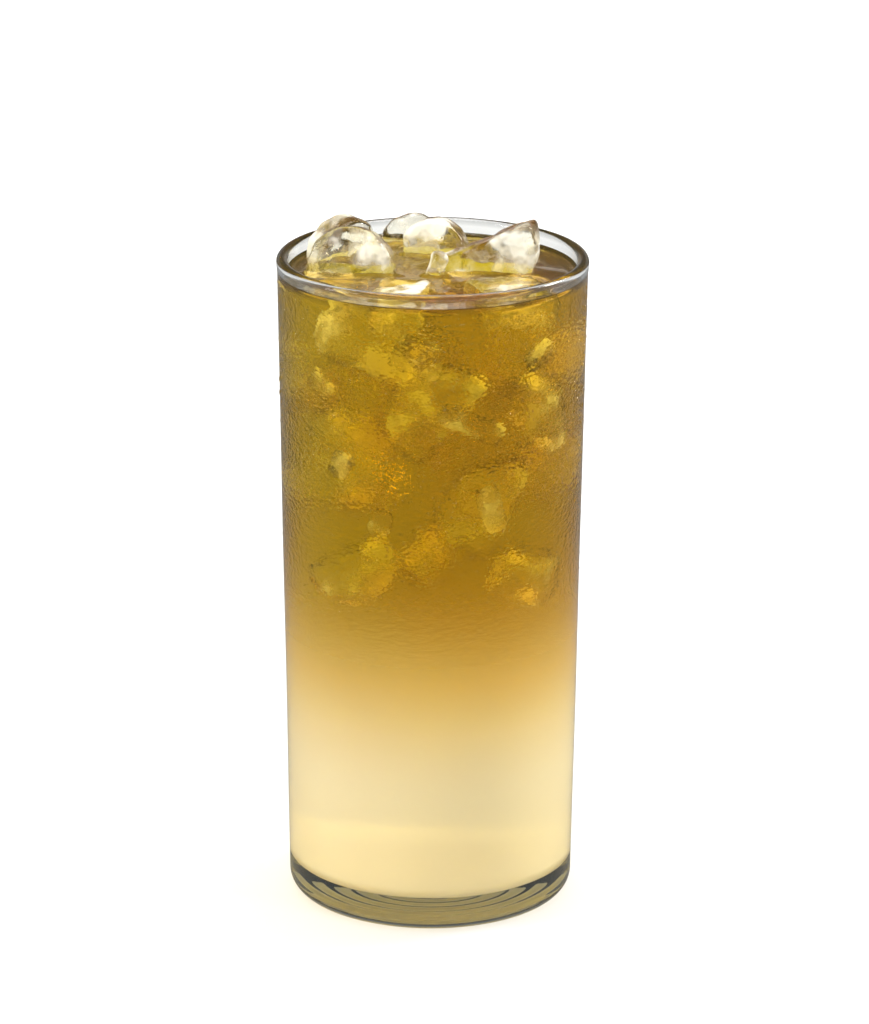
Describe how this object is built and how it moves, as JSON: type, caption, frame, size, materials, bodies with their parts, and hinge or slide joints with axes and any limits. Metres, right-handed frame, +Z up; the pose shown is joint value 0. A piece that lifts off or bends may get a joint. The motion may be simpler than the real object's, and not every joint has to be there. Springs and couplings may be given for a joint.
{
  "type": "glass of iced lemonade",
  "caption": "Tall straight-sided clear glass with a thick base, filled with pale lemonade under a layer of amber tea, with ice standing proud of the surface.",
  "frame": {"origin": "on the glass's axis, at the plane that it stands on", "axes": "+Z up along the glass's axis; -Y towards the side shown; +X to its right"},
  "size_m": [0.077, 0.077, 0.173],
  "materials": {
    "clear_glass": "clear, polished",
    "lemonade": "cloudy liquid",
    "tea": "clear amber liquid",
    "ice": "clear melting ice"
  },
  "bodies": {
    "root": {"glass": "clear_glass", "lemonade": "lemonade", "tea": "tea", "ice_left_front": "ice", "ice_left_back": "ice", "ice_back": "ice", "ice_centre": "ice", "ice_right": "ice", "ice_front_right": "ice", "ice_front_middle": "ice", "ice_tip": "ice"}
  },
  "joints": []
}
